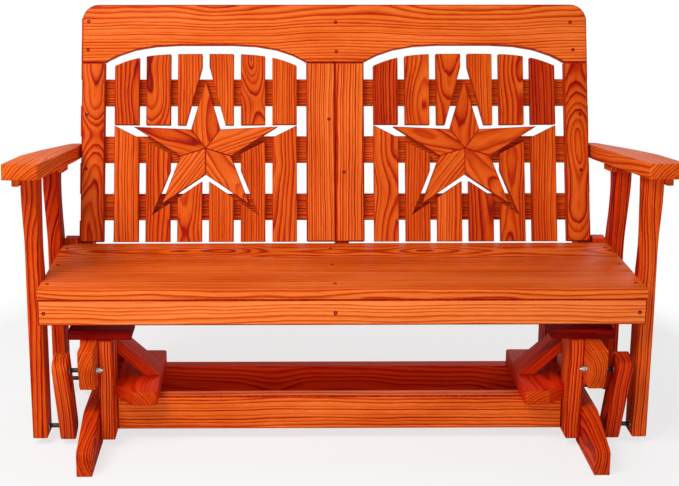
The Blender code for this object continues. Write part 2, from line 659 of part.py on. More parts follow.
def star_solid(name, middle):
    """Five flat kites that meet at the centre, with a chamfered joint between neighbours."""
    solid = bmesh.new()
    corners = star(STAR_TIPS, STAR_WAISTS)
    ring = [solid.verts.new((x, y, -DECK)) for x, y in corners]
    centre = solid.verts.new((0, 0, -DECK))
    kites = [solid.faces.new((ring[k], ring[k - 1], centre, ring[(k + 1) % 10]))
             for k in range(0, 10, 2)]
    bmesh.ops.recalc_face_normals(solid, faces=kites)
    made = bmesh.ops.extrude_face_region(solid, geom=kites, use_keep_orig=True)["geom"]
    tops = [f for f in made if isinstance(f, bmesh.types.BMFace)]
    bmesh.ops.translate(solid, vec=(0, 0, DECK - KITE_CHAMFER),
                        verts=list({v for f in tops for v in f.verts}))
    bmesh.ops.recalc_face_normals(solid, faces=solid.faces)
    bmesh.ops.inset_individual(solid, faces=tops, thickness=KITE_CHAMFER, depth=KITE_CHAMFER)
    mesh = bpy.data.meshes.new(name)
    solid.to_mesh(mesh)
    solid.free()
    obj = bpy.data.objects.new(name, mesh)
    obj.location = (middle, STAR_HEIGHT, 0)
    return finish(obj, ORANGE, back)


def slat_outline(left, middle):
    """A slat whose top follows the arch of its panel."""
    top = []
    for k in range(5):
        x = left + BACK_SLAT_WIDTH * (1 - k / 4)
        top.append((x, STILE_HEIGHT + arch(x - middle) - SLAT_ARCH_DROP))
    return [(left, 0), (left + BACK_SLAT_WIDTH, 0), *top]


def loose_pieces(mesh):
    """The separate solids of a mesh, as lists of its faces' corner points."""
    solid = bmesh.new()
    solid.from_mesh(mesh)
    left, pieces = set(solid.verts), []
    while left:
        piece, edge = set(), [left.pop()]
        while edge:
            vert = edge.pop()
            piece.add(vert)
            near = {e.other_vert(vert) for e in vert.link_edges} & left
            left -= near
            edge.extend(near)
        alone = bmesh.new()
        twins = {v: alone.verts.new(v.co) for v in piece}
        for face in solid.faces:
            if face.verts[0] in piece:
                alone.faces.new([twins[v] for v in face.verts])
        made = bpy.data.meshes.new("piece")
        alone.to_mesh(made)
        alone.free()
        pieces.append(made)
    solid.free()
    return pieces


# The star-shaped opening parts every slat of a panel in two. The long lower piece of an outer slat
# is a piece of its own. The others are fast to the rail behind them, the lowest that they cross.
carried = [[] for _ in rails]
for side, s in SIDES:
    middle = s * panel_middle
    opening = [(middle + x, STAR_HEIGHT + y) for x, y in star(CUT_TIPS, CUT_WAISTS)]
    hole = cutter(as_mesh(outline_curve(f"{side}_star_opening", [opening], 4 * DECK)), back)
    star_solid(f"{side}_star", middle)
    for i in range(BACK_SLATS):
        place = middle + s * (i - (BACK_SLATS - 1) / 2) * BACK_SLAT_PITCH
        own = {0: f"{side}_inner_back_slat", BACK_SLATS - 1: f"{side}_outer_back_slat"}.get(i)
        outline = slat_outline(place - BACK_SLAT_WIDTH / 2, middle)
        thick = DECK + GAP + SINK
        slat = cutter(as_mesh(outline_curve("cut_slat", [outline], thick)), back)
        slat.location = (0, 0, -thick / 2)
        combine(slat, hole, "DIFFERENCE")
        bpy.context.view_layer.update()
        graph = bpy.context.evaluated_depsgraph_get()
        for piece in loose_pieces(bpy.data.meshes.new_from_object(slat.evaluated_get(graph))):
            heights = [v.co.y for v in piece.vertices]
            crossed = [n for n, foot in enumerate(rails)
                       if min(heights) < foot and max(heights) > foot + RAIL_WIDTH / 2]
            if own and crossed[0] == 0:
                piece.transform(Matrix.Diagonal((1, 1, DECK / thick, 1)))
                obj = bpy.data.objects.new(own, piece)
                obj.location = (0, 0, -DECK / 2)
                finish(obj, ORANGE, back)
            else:
                carried[crossed[0]].append((slat, piece))

for n, foot in enumerate(rails):
    rail = box(f"back_rail_{n + 1}", (-stile_out, foot, -2 * DECK - GAP),
               (stile_out, foot + RAIL_WIDTH, -DECK - GAP), back, DEEP)
    for slat, piece in carried[n]:
        part = bpy.data.objects.new("slat_piece", piece)
        part.location = slat.location
        cutter(part, back)
        combine(rail, part, "UNION")
    for other in rails:
        if other != foot:
            clear = box("rail_clearance", (-stile_out - DECK, other - GAP, -2 * DECK),
                        (stile_out + DECK, other + RAIL_WIDTH + GAP, -DECK), None)
            clear.modifiers.clear()
            combine(rail, cutter(clear, back), "DIFFERENCE")

bpy.context.view_layer.update()
print("lower pivot", round(LOW_PIVOT_Y - CENTRE_Y, 5), round(LOW_PIVOT_Z, 5))
print("upper pivot", round(TOP_PIVOT_Y - CENTRE_Y, 5), round(TOP_PIVOT_Z, 5))
print("rear pivots", round(2 * BASE_MID - TOP_PIVOT_Y - CENTRE_Y, 5),
      round(2 * BASE_MID - LOW_PIVOT_Y - CENTRE_Y, 5))
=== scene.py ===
"""Two-seat porch glider in orange-stained pine, on a pale studio floor."""

from math import cos, pi, radians, sin, tau
from random import Random

import bmesh
import bpy
from mathutils import Matrix, Vector


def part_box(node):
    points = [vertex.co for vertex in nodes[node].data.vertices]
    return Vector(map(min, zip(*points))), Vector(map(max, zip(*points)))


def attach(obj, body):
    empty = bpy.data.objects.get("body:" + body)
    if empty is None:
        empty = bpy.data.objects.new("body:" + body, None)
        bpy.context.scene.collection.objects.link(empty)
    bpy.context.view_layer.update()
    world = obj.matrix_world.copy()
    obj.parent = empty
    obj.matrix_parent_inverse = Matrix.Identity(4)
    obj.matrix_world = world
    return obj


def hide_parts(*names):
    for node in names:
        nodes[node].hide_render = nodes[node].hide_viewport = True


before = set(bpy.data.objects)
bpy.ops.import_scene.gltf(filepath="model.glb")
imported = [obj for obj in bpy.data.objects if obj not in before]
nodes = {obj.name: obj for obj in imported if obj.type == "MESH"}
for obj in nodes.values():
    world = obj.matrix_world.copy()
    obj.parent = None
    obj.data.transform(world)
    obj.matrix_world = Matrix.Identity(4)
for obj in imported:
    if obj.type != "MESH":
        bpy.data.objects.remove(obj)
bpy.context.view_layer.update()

IN = 0.0254
CENTRE_Y = 0.27851          # front of the apron to the middle of the footprint
MERGE = 0.00001             # vertices closer than this become one
FLAT = radians(1)           # faces that meet flatter than this become one
SHARP = radians(40)         # edges sharper than this are eased
CREASE = radians(30)        # edges sharper than this are shaded as edges
EAST, NORTH, UP = Vector((1, 0, 0)), Vector((0, 1, 0)), Vector((0, 0, 1))
SIDES = (("left", -1), ("right", 1))

# The back's own frame: x along the seat, y up the slope, z out of its front face
LEAN = radians(16.6)
SLOPE = Vector((0, sin(LEAN), cos(LEAN)))
FRONT = Vector((0, -cos(LEAN), sin(LEAN)))
BACK_FOOT = (0, 15.79 * IN - CENTRE_Y, 17.6 * IN)
BACK = Matrix.Translation(BACK_FOOT) @ Matrix((EAST, SLOPE, FRONT)).transposed().to_4x4()
DECK = 1.0 * IN
GAP = 0.0003

# Back panels
PANEL_MIDDLE = 14.375 * IN
STILE_HEIGHT = 19.95 * IN
SLATS = 6
SLAT_WIDTH = 2.72 * IN
SLAT_PITCH = 3.5 * IN
ARCH_RISE = 1.96 * IN
ARCH_HALF = 11.175 * IN
ARCH_POWER = 3.67
ARCH_STEPS = 4
SLAT_DROP = 1.0 * IN
SLAT_MID = 10 * IN
STAR_HEIGHT = 10.35 * IN
ABOVE_STAR = 6 * IN         # only the upper slat boards reach this far above the star's middle
STAR_SCALE = 0.995          # keeps the kites inside the CAD star
KITE_HEART = 0.0015         # a kite's inner corner, as a share of the way to its tip
# Stars as (degrees from straight up, radius) of one half's tips and inner corners, from the top
STAR_TIPS = ((0, 7.6 * IN), (73.2, 8.4 * IN), (142, 7.9 * IN))
STAR_WAISTS = ((37.5, 2.68 * IN), (107, 2.95 * IN), (180, 2.92 * IN))
CUT_TIPS = ((0, 10.5 * IN), (75.6, 10.64 * IN), (141.3, 9.35 * IN))
CUT_WAISTS = ((40.5, 3.38 * IN), (105.5, 3.35 * IN), (180, 3.4 * IN))
RAIL_FEET = [(2.42 + 6.4 * n) * IN for n in range(3)]
RAIL_WIDTH = 2.95 * IN
RAIL_HALF = 28.15 * IN

ARM_SLOPE = radians(7.1)
LINK_LEAN = radians(20.7)
STRUT_SLOPE = radians(42.4)

# How wide arrises are rounded
BOARD_ARRIS = 0.0016
RAIL_ARRIS = 0.0018
SLAT_ARRIS = 0.0014
KITE_ARRIS = 0.0018
SEAT_ARRIS = 0.003
FACE_ARRIS = 0.002
NUT_ARRIS = 0.0007

# Faces that bolts and spacers meet, measured from the middle of the glider
FRAME_INSIDE = 24.4 * IN
FRAME_OUTSIDE = 25.9 * IN
LINK_INSIDE = 27.1 * IN
LINK_OUTSIDE = 28.6 * IN
LEG_INSIDE = 29.9 * IN
LEG_OUTSIDE = 31.4 * IN

# Bolts, spacers and screws
BOLT_RADIUS = 0.1875 * IN
HEAD_RADIUS = 0.42 * IN
HEAD_HEIGHTS = {"hanger": 0.19 * IN, "leg": 0.1 * IN}
WASHER_THICK = 0.07 * IN
WASHER_RIM = 0.0003
NUT_ACROSS = 0.56 * IN
NUT_HEIGHT = 0.33 * IN
NUT_BACK = 0.41 * IN        # from the frame's inside to the nut's far face
THREAD_START = 0.4 * IN
THREAD_END = 0.68 * IN
THREAD_PITCH = 0.0016
SLEEVE_RADIUS = 0.225 * IN
FLANGE_RADIUS = 0.32 * IN
FLANGE_THICK = 0.06 * IN
SCREW_RADIUS = 0.0036
SCREW_DEPTH = 0.0012
# Size of the dark ring of painted shade round each screw head
SHADE_RING_RADIUS, SHADE_RING_BORE, SHADE_RING_THICK = 0.0050, 0.0035, 0.0007

# Light and camera
AMBIENT = 0.28
FLOOR_HALF = 9
FLOOR_FADE = (0.75, 1.5)    # distances from the glider between which the floor turns white
FLOOR_GLOW = 0.72
PHOTO_WIDTH = 679           # pixels
FOCAL_LENGTH = 1228.3       # pixels
SENSOR = 36
EYE = (-6.048 * IN, -114.164 * IN - CENTRE_Y, 56.911 * IN)


# ------------------------------------------------------------------ materials
def new_group(name, inputs, outputs):
    group = bpy.data.node_groups.new(name, "ShaderNodeTree")
    for label, kind, value in inputs:
        socket = group.interface.new_socket(label, in_out="INPUT", socket_type="NodeSocket" + kind)
        if value is not None:
            socket.default_value = value
    for label, kind in outputs:
        group.interface.new_socket(label, in_out="OUTPUT", socket_type="NodeSocket" + kind)
    start = group.nodes.new("NodeGroupInput")
    end = group.nodes.new("NodeGroupOutput")
    return group, start.outputs, end.inputs


class Wiring:
    """Short ways to add nodes to one tree."""

    def __init__(self, tree):
        self.tree = tree

    def add(self, kind, settings=None, **sockets):
        node = self.tree.nodes.new("ShaderNode" + kind)
        for key, value in (settings or {}).items():
            setattr(node, key, value)
        for key, value in sockets.items():
            self.feed(node.inputs[key.replace("_", " ")], value)
        return node

    def feed(self, socket, value):
        if isinstance(value, bpy.types.NodeSocket):
            self.tree.links.new(value, socket)
        else:
            socket.default_value = value

    def math(self, operation, *values):
        node = self.tree.nodes.new("ShaderNodeMath")
        node.operation = operation
        for socket, value in zip(node.inputs, values):
            self.feed(socket, value)
        return node.outputs[0]

    def mix(self, factor, a, b, blend="MIX"):
        node = self.tree.nodes.new("ShaderNodeMix")
        node.data_type = "RGBA"
        node.blend_type = blend
        self.feed(node.inputs[0], factor)
        self.feed(node.inputs[6], a)
        self.feed(node.inputs[7], b)
        return node.outputs[2]

    def scaled(self, vector, factors):
        node = self.add("VectorMath", {"operation": "MULTIPLY"})
        self.feed(node.inputs[0], vector)
        self.feed(node.inputs[1], factors)
        return node.outputs[0]

    def noise(self, vector, scale, detail=2.0, roughness=0.5):
        node = self.add("TexNoise", None, Vector=vector, Scale=scale, Detail=detail,
                        Roughness=roughness)
        return node.outputs["Fac"]

    def spread(self, value, low, high):
        """Brings a noise's usual range, 0.3 to 0.7, to another."""
        node = self.add("MapRange", None, Value=value, From_Min=0.3, From_Max=0.7, To_Min=low,
                        To_Max=high)
        return node.outputs[0]

    def ramp(self, factor, stops):
        node = self.tree.nodes.new("ShaderNodeValToRGB")
        marks = node.color_ramp.elements
        while len(marks) < len(stops):
            marks.new(0.5)
        for mark, (place, value) in zip(marks, stops):
            mark.position = place
            mark.color = (value, value, value, 1) if isinstance(value, float) else (*value, 1)
        self.feed(node.inputs[0], factor)
        return node.outputs[0]


def pine_grain():
    """Growth rings round a wandering heart, cut by the board. Board runs along X, Z is its face."""
    group, given, out = new_group(
        "Pine Grain",
        [("Vector", "Vector", None), ("Heart Across", "Float", 0.01),
         ("Heart Depth", "Float", 0.05), ("Ring Width", "Float", 0.0085),
         ("Wander", "Float", 1.0)],
        [("Late Wood", "Float"), ("Fibre", "Float"), ("Blotch", "Float")])
    w = Wiring(group)
    place = w.add("SeparateXYZ", None, Vector=given["Vector"]).outputs

    def drift(rate, lift):
        at = w.add("CombineXYZ", None, X=w.math("MULTIPLY", place[0], rate), Y=lift,
                   Z=w.math("MULTIPLY", place[1], 1.6))
        return w.math("SUBTRACT", w.noise(at.outputs[0], 1.0, 2.0, 0.45), 0.5)

    across = w.math("ADD", place[1], given["Heart Across"])
    bend = w.math("MULTIPLY", drift(1.7, 3.1), 0.05)
    across = w.math("ADD", across, w.math("MULTIPLY", bend, given["Wander"]))
    deep = w.math("ADD", place[2], given["Heart Depth"])
    bend = w.math("MULTIPLY", drift(2.3, 17.7), 0.085)
    deep = w.math("ADD", deep, w.math("MULTIPLY", bend, given["Wander"]))
    radius = w.math("SQRT", w.math("ADD", w.math("MULTIPLY", across, across),
                                   w.math("MULTIPLY", deep, deep)))
    stretched = w.scaled(given["Vector"], (7.0, 45.0, 45.0))
    ripple = w.math("SUBTRACT", w.noise(stretched, 1.0, 3.0, 0.55), 0.5)
    radius = w.math("ADD", radius, w.math("MULTIPLY", ripple, 0.0055))
    ring = w.math("DIVIDE", radius, given["Ring Width"])
    uneven = w.add("TexNoise", {"noise_dimensions": "1D"}, W=w.math("MULTIPLY", ring, 0.55),
                   Scale=1.0, Detail=1.0).outputs["Fac"]
    ring = w.math("ADD", ring, w.math("MULTIPLY", uneven, 1.4))
    band = w.ramp(w.math("FRACT", ring), [(0.0, 0.3), (0.14, 0.0), (0.45, 0.08), (0.7, 0.5),
                                          (0.86, 1.0), (0.96, 0.9), (1.0, 0.3)])
    tint = w.add("TexNoise", {"noise_dimensions": "1D"}, W=w.math("MULTIPLY", ring, 0.9),
                 Scale=1.0, Detail=0.0).outputs["Fac"]
    w.feed(out["Late Wood"], w.math("MULTIPLY", band, w.spread(tint, 0.45, 1.0)))
    w.feed(out["Fibre"], w.noise(w.scaled(given["Vector"], (22.0, 700.0, 700.0)), 1.0, 3.0, 0.6))
    w.feed(out["Blotch"], w.noise(w.scaled(given["Vector"], (3.0, 16.0, 16.0)), 1.0, 3.0, 0.5))
    return group


# The stain, from thin over early wood to thick over late wood, pitch and end grain
STAIN_TONES = [(0.0, (0.97, 0.255, 0.060)), (0.22, (0.88, 0.172, 0.026)),
               (0.45, (0.69, 0.094, 0.004)), (0.65, (0.52, 0.040, 0.0015)),
               (0.82, (0.39, 0.012, 0.001)), (1.0, (0.17, 0.003, 0.001))]
# Painted shade: tint multiplied over the stain of boards in shade under the seat, for the deep red
# that shade takes there
SHADE_RED_TINT = (1.0, 0.17, 0.17, 1.0)


def stain():
    """Colour, gloss and relief of the stain over the grain, with a red tint of painted shade for
    boards in shade.
    """
    group, given, out = new_group(
        "Orange Stain",
        [("Late Wood", "Float", 0.0), ("Fibre", "Float", 0.5), ("Blotch", "Float", 0.5),
         ("End Grain", "Float", 0.0), ("Tone", "Float", 0.2), ("Contrast", "Float", 0.5),
         ("Red", "Float", 0.0)],
        [("Color", "Color"), ("Roughness", "Float"), ("Height", "Float")])
    w = Wiring(group)
    thick = w.math("ADD", given["Tone"], w.math("MULTIPLY", given["Late Wood"], given["Contrast"]))
    for label, share in (("Fibre", 0.5), ("Blotch", 0.45)):
        change = w.math("SUBTRACT", given[label], 0.5)
        thick = w.math("ADD", thick, w.math("MULTIPLY", change, share))
    thick = w.math("ADD", thick, w.math("MULTIPLY", given["End Grain"], 0.12))
    # Painted shade: shaded boards are reddened on their long grain, their end grain much less
    long_grain = w.math("SUBTRACT", 1.0, w.math("MULTIPLY", given["End Grain"], 0.85))
    red = w.math("MULTIPLY", given["Red"], long_grain)
    w.feed(out["Color"], w.mix(red, w.ramp(thick, STAIN_TONES), SHADE_RED_TINT, "MULTIPLY"))
    rough = w.math("SUBTRACT", 0.5, w.math("MULTIPLY", given["Late Wood"], 0.12))
    rough = w.math("ADD", rough, w.math("MULTIPLY", given["Fibre"], 0.1))
    w.feed(out["Roughness"], w.math("ADD", rough, w.math("MULTIPLY", given["End Grain"], 0.2)))
    relief = w.math("ADD", w.math("MULTIPLY", given["Late Wood"], 0.6),
                    w.math("MULTIPLY", given["Fibre"], 0.4))
    w.feed(out["Height"], relief)
    return group


GRAIN = pine_grain()
STAIN = stain()
# Ranges for how far the log's heart lies beside and behind a board's face and how it wanders
FIGURES = {"straight": ((0.07, 0.14), (0.01, 0.05), (0.4, 0.8)),
           "flat": ((0.01, 0.05), (0.03, 0.07), (0.7, 1.1)),
           "arched": ((-0.012, 0.012), (0.012, 0.035), (1.3, 2.0)),
           "wild": ((-0.02, 0.02), (0.01, 0.03), (2.6, 3.6)),
           "edged": ((0.0, 0.02), (0.08, 0.13), (0.4, 0.8)),
           "rift": ((0.07, 0.1), (0.07, 0.1), (0.3, 0.6))}


def new_material(name):
    material = bpy.data.materials.new(name)
    material.use_nodes = True
    tree = material.node_tree
    return material, tree.nodes["Principled BSDF"], Wiring(tree)


def pine(name, middle, along, face, tone=0.2, figure="flat", ring=0.008, contrast=0.5,
         red=0.0):
    """Stained pine for one board, with its own stretch of the log."""
    own = Random(name)
    material, shader, w = new_material(name)
    along = along.normalized()
    face = (face - along * face.dot(along)).normalized()
    turn = Matrix((along, face.cross(along), face)).transposed()
    spot = Vector(middle) - along * own.uniform(3, 40)
    where = w.add("TexCoord").outputs
    onto = w.add("Mapping", {"vector_type": "TEXTURE"}, Vector=where["Object"], Location=spot,
                 Rotation=turn.to_euler())
    beside, behind, wander = FIGURES[figure]
    grain = w.add("Group", {"node_tree": GRAIN})
    w.feed(grain.inputs["Vector"], onto.outputs[0])
    w.feed(grain.inputs["Heart Across"], own.uniform(*beside) * own.choice((-1, 1)))
    w.feed(grain.inputs["Heart Depth"], own.uniform(*behind))
    w.feed(grain.inputs["Ring Width"], own.uniform(0.9, 1.1) * ring)
    w.feed(grain.inputs["Wander"], own.uniform(*wander))
    ends = w.add("VectorMath", {"operation": "DOT_PRODUCT"})
    w.feed(ends.inputs[0], where["Normal"])
    w.feed(ends.inputs[1], along)
    end = w.add("MapRange", None, Value=w.math("ABSOLUTE", ends.outputs["Value"]),
                From_Min=0.6, From_Max=0.95)
    finish = w.add("Group", {"node_tree": STAIN})
    for label in ("Late Wood", "Fibre", "Blotch"):
        w.feed(finish.inputs[label], grain.outputs[label])
    w.feed(finish.inputs["End Grain"], end.outputs[0])
    w.feed(finish.inputs["Tone"], tone + own.uniform(-0.03, 0.03))
    w.feed(finish.inputs["Contrast"], contrast)
    # Painted shade: how much the stain is reddened because the board sits in shade
    w.feed(finish.inputs["Red"], red)
    bump = w.add("Bump", None, Strength=0.3, Distance=0.001, Height=finish.outputs["Height"])
    w.feed(shader.inputs["Base Color"], finish.outputs["Color"])
    w.feed(shader.inputs["Roughness"], finish.outputs["Roughness"])
    w.feed(shader.inputs["Normal"], bump.outputs[0])
    shader.inputs["Specular IOR Level"].default_value = 0.05
    return material


def zinc(name, dark=1.0):
    """Zinc-plated steel with dull blotches and fine scratches."""
    material, shader, w = new_material(name)
    where = w.add("TexCoord").outputs["Object"]
    dull = w.noise(where, 260.0, 4.0, 0.6)
    scratch = w.noise(where, 1900.0, 2.0, 0.7)
    bright = (0.66 * dark, 0.65 * dark, 0.63 * dark, 1)
    grey = (0.40 * dark, 0.38 * dark, 0.35 * dark, 1)
    w.feed(shader.inputs["Base Color"], w.mix(dull, bright, grey))
    w.feed(shader.inputs["Roughness"], w.spread(dull, 0.28, 0.5))
    bump = w.add("Bump", None, Strength=0.15, Distance=0.0004, Height=scratch)
    w.feed(shader.inputs["Normal"], bump.outputs[0])
    shader.inputs["Metallic"].default_value = 1.0
    return material


def browned(name):
    """Brown-coated steel, worn a little where the driver turned, and darker than the coat as
    painted shade for the hollow round the head.
    """
    material, shader, w = new_material(name)
    patch = w.noise(w.add("TexCoord").outputs["Object"], 900.0, 3.0, 0.6)
    w.feed(shader.inputs["Base Color"], w.ramp(patch, [(0.35, (0.01, 0.002, 0.001)),
                                                       (0.75, (0.04, 0.006, 0.002))]))
    w.feed(shader.inputs["Roughness"], w.spread(patch, 0.5, 0.75))
    shader.inputs["Specular IOR Level"].default_value = 0.06
    return material


def centre_of(node):
    low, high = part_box(node)
    return (Vector(low) + Vector(high)) / 2


def dress(node, along, face, **more):
    obj = nodes[node]
    material = pine(node + "_pine", centre_of(node), along, face, **more)
    obj.data.materials.clear()
    obj.data.materials.append(material)


# ------------------------------------------------------------------ pieces
def new_object(name, data):
    obj = bpy.data.objects.new(name, data)
    bpy.context.scene.collection.objects.link(obj)
    return obj


def mesh_object(name, shape):
    mesh = bpy.data.meshes.new(name)
    shape.to_mesh(mesh)
    shape.free()
    return new_object(name, mesh)


def piece(name, shape, material, body="seat"):
    obj = mesh_object(name, shape)
    obj.data.materials.append(material)
    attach(obj, body)
    return obj


def block(low, high):
    shape = bmesh.new()
    low, high = Vector(low), Vector(high)
    size = Matrix.Diagonal((*(high - low), 1))
    bmesh.ops.create_cube(shape, size=1, matrix=Matrix.Translation((low + high) / 2) @ size)
    return shape


def ease(shape, width, dark=False):
    """Rounds the arrises; dark ones take the second material, a darker tone of the stain."""
    edges = [e for e in shape.edges if e.is_manifold and e.calc_face_angle() > SHARP]
    made = bmesh.ops.bevel(shape, geom=edges, offset=width, offset_type="OFFSET", affect="EDGES",
                           segments=2, profile=0.5, material=-1, clamp_overlap=True)
    if dark:
        for face in made["faces"]:
            face.material_index = 1


def star(tips, waists):
    """The ten corners of a star, clockwise from its top."""
    half = [(radius * sin(radians(angle)), radius * cos(radians(angle)))
            for pair in zip(tips, waists) for angle, radius in pair]
    return half + [(-x, y) for x, y in half[-2:0:-1]]


def plate(outline, thickness):
    """A flat outline pushed back from the plane z = 0."""
    shape = bmesh.new()
    face = shape.faces.new([shape.verts.new((x, y, 0)) for x, y in outline])
    if face.normal.z < 0:
        face.normal_flip()
    back = bmesh.ops.extrude_face_region(shape, geom=[face], use_keep_orig=True)["geom"]
    bmesh.ops.translate(shape, vec=(0, 0, -thickness),
                        verts=[v for v in back if isinstance(v, bmesh.types.BMVert)])
    bmesh.ops.recalc_face_normals(shape, faces=shape.faces)
    return shape


def loose_parts(shape):
    """One bmesh per separate solid."""
    left, parts = set(shape.verts), []
    while left:
        part, edge = set(), [left.pop()]
        while edge:
            vert = edge.pop()
            part.add(vert)
            near = {e.other_vert(vert) for e in vert.link_edges} & left
            left -= near
            edge.extend(near)
        alone = shape.copy()
        alone.verts.ensure_lookup_table()
        shape.verts.index_update()
        keep = {v.index for v in part}
        others = [v for v in alone.verts if v.index not in keep]
        bmesh.ops.delete(alone, geom=others, context="VERTS")
        parts.append(alone)
    return parts


def cut(shape, cutter):
    """The shape less the cutter, by a Boolean on two passing objects."""
    blank, knife = mesh_object("blank", shape), mesh_object("knife", cutter)
    change = blank.modifiers.new("cut", "BOOLEAN")
    change.operation = "DIFFERENCE"
    change.object = knife
    graph = bpy.context.evaluated_depsgraph_get()
    result = bmesh.new()
    result.from_mesh(blank.evaluated_get(graph).to_mesh())
    for obj in (blank, knife):
        bpy.data.objects.remove(obj, do_unlink=True)
    bmesh.ops.dissolve_limit(result, angle_limit=FLAT, verts=result.verts, edges=result.edges)
    return result


def slat_middle(s, i):
    return s * PANEL_MIDDLE + s * (i - (SLATS - 1) / 2) * SLAT_PITCH


def slat_outline(left, middle):
    """A slat whose top follows the arch of its panel."""
    top = []
    for k in range(ARCH_STEPS + 1):
        x = left + SLAT_WIDTH * (1 - k / ARCH_STEPS)
        fall = abs((x - middle) / ARCH_HALF) ** ARCH_POWER
        top.append((x, STILE_HEIGHT + ARCH_RISE * (1 - fall) - SLAT_DROP))
    return [(left, 0), (left + SLAT_WIDTH, 0), *top]


# ------------------------------------------------------------------ back
STAR_TONES = {"left": (0.36, 0.33, 0.34, 0.29, 0.46), "right": (0.4, 0.4, 0.38, 0.38, 0.44)}
STAR_FIGURES = ("flat", "flat", "arched", "straight", "arched")

ARRIS = pine("arris_pine", (0, 0, 0), SLOPE, FRONT, tone=0.76, contrast=0.2)

# Back rails
for n, foot in enumerate(RAIL_FEET):
    shape = block((-RAIL_HALF, foot, -2 * DECK - GAP),
                  (RAIL_HALF, foot + RAIL_WIDTH, -DECK - GAP))
    ease(shape, RAIL_ARRIS)
    shape.transform(BACK)
    name = f"rail_{n + 1}"
    middle = BACK @ Vector((0, foot + RAIL_WIDTH / 2, -1.5 * DECK))
    wood = pine(name + "_pine", middle, EAST, FRONT, tone=0.46, figure="straight",
                ring=0.0075, contrast=0.6)
    rail = piece(name, shape, wood)
    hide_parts(f"back_rail_{n + 1}")

# Tone and figure of each slat board above the star (True) and below it, from the inner one out
SLAT_LOOKS = {
    ("left", True): ((0.38, "straight"), (0.44, "wild"), (0.41, "straight"), (0.38, "straight"),
                     (0.42, "arched"), (0.48, "flat")),
    ("left", False): ((0.38, "flat"), (0.41, "straight"), (0.38, "straight"), (0.44, "arched"),
                      (0.5, "flat"), (0.38, "straight")),
    ("right", True): ((0.58, "straight"), (0.44, "flat"), (0.48, "wild"), (0.41, "straight"),
                      (0.44, "flat"), (0.6, "straight")),
    ("right", False): ((0.38, "flat"), (0.41, "straight"), (0.38, "straight"), (0.48, "flat"),
                       (0.5, "arched"), (0.44, "straight"))}
# The CAD nodes that the lower boards of the innermost and outermost slats replace
SLAT_NODES = {0: "inner", SLATS - 1: "outer"}
for side, s in SIDES:
    middle = s * PANEL_MIDDLE

    # Slats, each parted by the star-shaped opening
    for i in range(SLATS):
        across = slat_middle(s, i)
        blank = plate(slat_outline(across - SLAT_WIDTH / 2, middle), DECK)
        opening = [(middle + x, STAR_HEIGHT + y) for x, y in star(CUT_TIPS, CUT_WAISTS)]
        knife = plate(opening, 4 * DECK)
        bmesh.ops.translate(knife, verts=knife.verts, vec=(0, 0, 2 * DECK))
        whole = cut(blank, knife)
        for part in loose_parts(whole):
            high = max(v.co.y for v in part.verts) > STAR_HEIGHT + ABOVE_STAR
            name = f"{side}_slat_{i + 1}_{'top' if high else 'foot'}"
            ease(part, SLAT_ARRIS, dark=True)
            part.transform(BACK)
            at = BACK @ Vector((across, SLAT_MID, -DECK / 2))
            tone, figure = SLAT_LOOKS[side, high][i]
            wood = pine(name + "_pine", at, SLOPE, FRONT, tone=tone, figure=figure,
                        ring=0.0075, contrast=0.55)
            obj = piece(name, part, wood)
            obj.data.materials.append(ARRIS)
            if not high and i in SLAT_NODES:
                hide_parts(f"{side}_{SLAT_NODES[i]}_back_slat")
        whole.free()

    # Stars of five kites, each with the grain along its point
    points = star(STAR_TIPS, STAR_WAISTS)
    for k in range(5):
        tip, right, left = points[2 * k], points[(2 * k + 1) % 10], points[2 * k - 1]
        heart = (tip[0] * KITE_HEART, tip[1] * KITE_HEART)
        shape = plate([(middle + x * STAR_SCALE, STAR_HEIGHT + y * STAR_SCALE)
                       for x, y in (tip, left, heart, right)], DECK)
        ease(shape, KITE_ARRIS, dark=True)
        shape.transform(BACK)
        name = f"{side}_star_point_{k + 1}"
        way = (BACK.to_3x3() @ Vector((tip[0], tip[1], 0))).normalized()
        at = BACK @ Vector((middle, STAR_HEIGHT, -DECK / 2))
        wood = pine(name + "_pine", at, way, FRONT, figure=STAR_FIGURES[k],
                    tone=STAR_TONES[side][k], ring=0.009)
        obj = piece(name, shape, wood)
        obj.data.materials.append(ARRIS)
        if k == 0:
            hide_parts(f"{side}_star")

